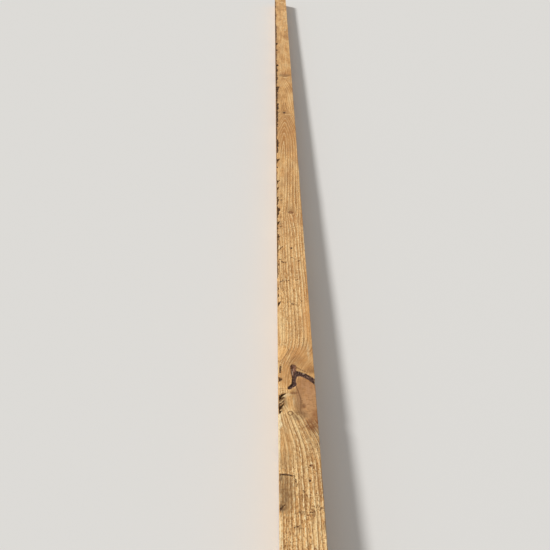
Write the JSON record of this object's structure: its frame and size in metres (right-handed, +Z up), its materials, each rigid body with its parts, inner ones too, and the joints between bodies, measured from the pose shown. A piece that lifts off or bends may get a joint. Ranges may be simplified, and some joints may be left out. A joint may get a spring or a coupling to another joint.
{
  "type": "timber lumber plank",
  "caption": "Long rough-sawn softwood plank of square section, with a bark-edged knot near one end and a torn left arris.",
  "frame": {"origin": "centre of the underside, which lies on the floor", "axes": "+Y along the plank, away from the end near the bark-edged knot; +X across it, towards the side that the knot runs out of; +Z up through the top face"},
  "size_m": [0.075, 3.6, 0.075],
  "materials": {
    "sawn_softwood": "rough-sawn, dry and unplaned, with raised grain and torn fibres"
  },
  "bodies": {
    "root": {"plank": "sawn_softwood"}
  },
  "joints": []
}
